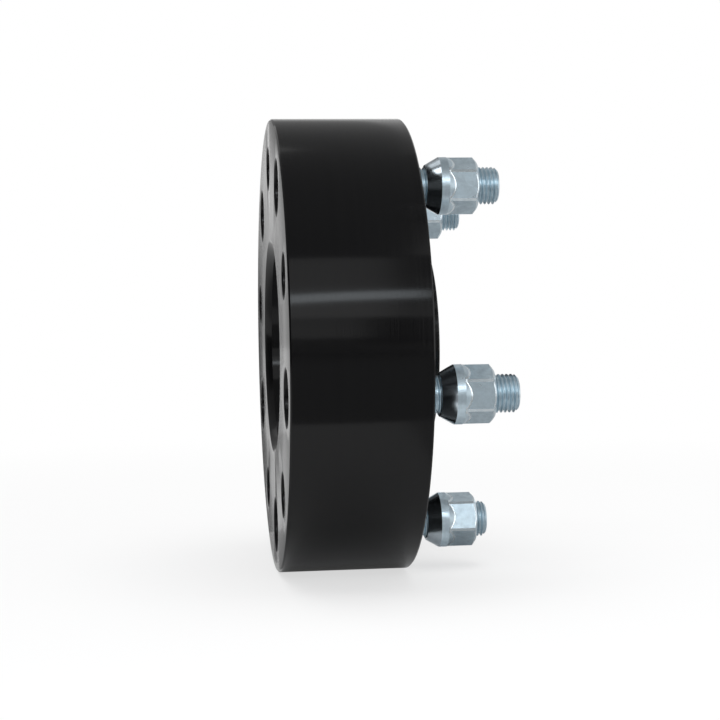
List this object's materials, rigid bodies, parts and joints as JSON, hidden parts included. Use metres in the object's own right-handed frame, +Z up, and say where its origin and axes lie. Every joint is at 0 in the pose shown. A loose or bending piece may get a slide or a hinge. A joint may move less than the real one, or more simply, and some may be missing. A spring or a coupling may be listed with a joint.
{
  "type": "wheel spacer",
  "caption": "Thick black aluminium wheel spacer that bolts to a hub through deep nut pockets and carries the wheel on its own pressed-in studs with cone-seat lug nuts.",
  "frame": {"origin": "centre of the hub face, where the spacer sits on the hub", "axes": "+Y along the wheel axis, from the hub side to the wheel side; +Z up; the first hub stud hole is 3.9 degrees off +Z"},
  "size_m": [0.176, 0.0826, 0.176],
  "materials": {
    "anodised_aluminium": "black anodised over fine turning lines, satin",
    "stud_zinc": "bright blue-white zinc plate on rolled thread",
    "nut_zinc": "bright blue-white zinc plate"
  },
  "bodies": {
    "root": {"spacer_body": "anodised_aluminium", "wheel_stud_1": "stud_zinc", "wheel_stud_2": "stud_zinc", "wheel_stud_3": "stud_zinc", "wheel_stud_4": "stud_zinc", "wheel_stud_5": "stud_zinc", "lug_nut_1": "nut_zinc", "lug_nut_2": "nut_zinc", "lug_nut_3": "nut_zinc", "lug_nut_4": "nut_zinc", "lug_nut_5": "nut_zinc"}
  },
  "joints": []
}
